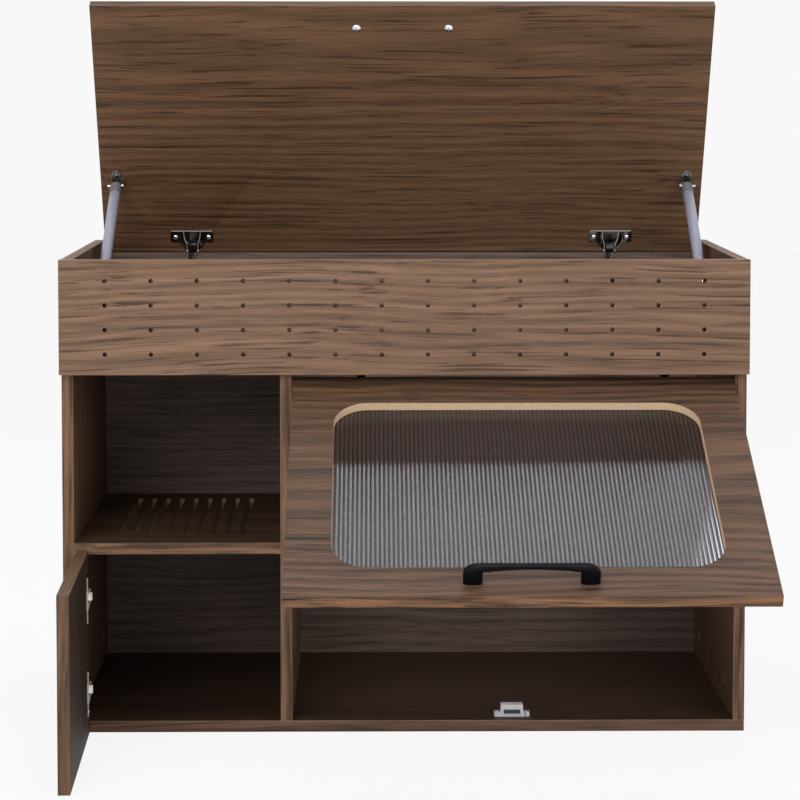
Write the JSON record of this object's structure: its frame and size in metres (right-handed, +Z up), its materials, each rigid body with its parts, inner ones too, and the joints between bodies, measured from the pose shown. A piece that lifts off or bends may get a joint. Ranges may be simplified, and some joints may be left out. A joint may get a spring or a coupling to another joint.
{
  "type": "litter box cabinet",
  "caption": "Walnut-faced cabinet for a litter tray: strut-held top lid, swing-up fluted glass flap, small cupboard door and open slotted shelf.",
  "frame": {"origin": "middle of the bottom panel's underside", "axes": "+X to the right seen from the front, +Y to the back, +Z up"},
  "size_m": [0.9, 0.7943, 0.9679],
  "materials": {
    "walnut_board": "satin walnut foil",
    "black_metal": "satin black",
    "fluted_glass": "fluted",
    "clear_clip": "gloss",
    "plated_screw": "plated",
    "nickel": "plated",
    "dark_steel": "plated",
    "strut_paint": "gloss",
    "grey_plastic": "satin",
    "black_plastic": "satin",
    "polished_rod": "polished",
    "white_plastic": "semi-gloss",
    "magnet": "matt",
    "pole_steel": "brushed",
    "cam_zinc": "cast"
  },
  "bodies": {
    "carcass": {"bottom_panel": "walnut_board", "left_side_panel": "walnut_board", "right_side_panel": "walnut_board", "back_panel": "walnut_board", "divider_panel": "walnut_board", "tray_floor": "walnut_board", "flap_rail": "walnut_board", "slotted_shelf": "walnut_board", "vented_apron": "walnut_board", "lid_hinge_arm_left": "dark_steel", "lid_hinge_arm_right": "dark_steel", "flap_hinge_arm_left": "dark_steel", "flap_hinge_arm_right": "dark_steel", "door_hinge_arm_lower": "dark_steel", "door_hinge_arm_upper": "dark_steel", "hinge_plate_screws": "plated_screw", "strut_foot_screws": "plated_screw", "strut_foot_bracket_left": "nickel", "strut_foot_bracket_right": "nickel", "catch_housing": "white_plastic", "catch_magnet": "magnet", "catch_poles": "pole_steel", "catch_screws": "plated_screw", "cams": "cam_zinc", "cam_bolts": "cam_zinc"},
    "lid": {"lid_panel": "walnut_board", "lid_handle": "black_metal", "lid_handle_screws": "plated_screw", "lid_hinge_cup_left": "nickel", "lid_hinge_cup_right": "nickel", "lid_hinge_cup_screws": "plated_screw", "strut_lid_bracket_left": "nickel", "strut_lid_bracket_right": "nickel", "strut_lid_screws": "plated_screw"},
    "flap": {"flap_panel": "walnut_board", "fluted_pane": "fluted_glass", "pane_clips": "clear_clip", "pane_clip_screws": "plated_screw", "flap_handle": "black_metal", "flap_handle_screws": "plated_screw", "flap_hinge_cup_left": "nickel", "flap_hinge_cup_right": "nickel", "flap_hinge_cup_screws": "plated_screw", "strike_plate": "nickel", "strike_screws": "plated_screw"},
    "door": {"door_panel": "walnut_board", "door_hinge_cup_lower": "nickel", "door_hinge_cup_upper": "nickel", "door_hinge_cup_screws": "plated_screw"},
    "strut_tube_left": {"strut_cap_left": "grey_plastic", "strut_tube_left": "strut_paint", "strut_guide_left": "black_plastic"},
    "strut_tube_right": {"strut_cap_right": "grey_plastic", "strut_tube_right": "strut_paint", "strut_guide_right": "black_plastic"},
    "strut_rod_left": {"strut_rod_left": "polished_rod", "strut_foot_left": "black_plastic"},
    "strut_rod_right": {"strut_rod_right": "polished_rod", "strut_foot_right": "black_plastic"}
  },
  "joints": [
    {"name": "lid_hinge", "type": "hinge", "parent": "carcass", "child": "lid", "pos_m": [0, 0.191, 0.621], "axis": [1, 0, 0], "range_deg": [0, 62.5]},
    {"name": "flap_hinge", "type": "hinge", "parent": "carcass", "child": "flap", "pos_m": [0.14275, -0.196, 0.462], "axis": [1, 0, 0], "range_deg": [-22, 63]},
    {"name": "door_hinge", "type": "hinge", "parent": "carcass", "child": "door", "pos_m": [-0.425, -0.2139, 0.1225], "axis": [0, 0, 1], "range_deg": [-7, 88]},
    {"name": "strut_stud_left", "type": "hinge", "parent": "lid", "child": "strut_tube_left", "pos_m": [-0.41, 0.12134, 0.70717], "axis": [0.9971, -0.0751, 0.0099], "range_deg": [-78.75, 0.5]},
    {"name": "strut_slide_left", "type": "slide", "parent": "strut_tube_left", "child": "strut_rod_left", "axis": [-0.0427, -0.6649, -0.7457], "range_m": [-0.10101, 0.0005]},
    {"name": "strut_stud_right", "type": "hinge", "parent": "lid", "child": "strut_tube_right", "pos_m": [0.41, 0.12134, 0.70717], "axis": [0.9971, 0.0751, -0.0099], "range_deg": [-78.75, 0.5]},
    {"name": "strut_slide_right", "type": "slide", "parent": "strut_tube_right", "child": "strut_rod_right", "axis": [0.0427, -0.6649, -0.7457], "range_m": [-0.10101, 0.0005]}
  ],
  "couplings": [
    {"joint": "strut_stud_left", "follows": "lid_hinge", "ratio": -1.252},
    {"joint": "strut_slide_left", "follows": "lid_hinge", "m_per_rad": -0.092144},
    {"joint": "strut_stud_right", "follows": "lid_hinge", "ratio": -1.252},
    {"joint": "strut_slide_right", "follows": "lid_hinge", "m_per_rad": -0.092144}
  ]
}
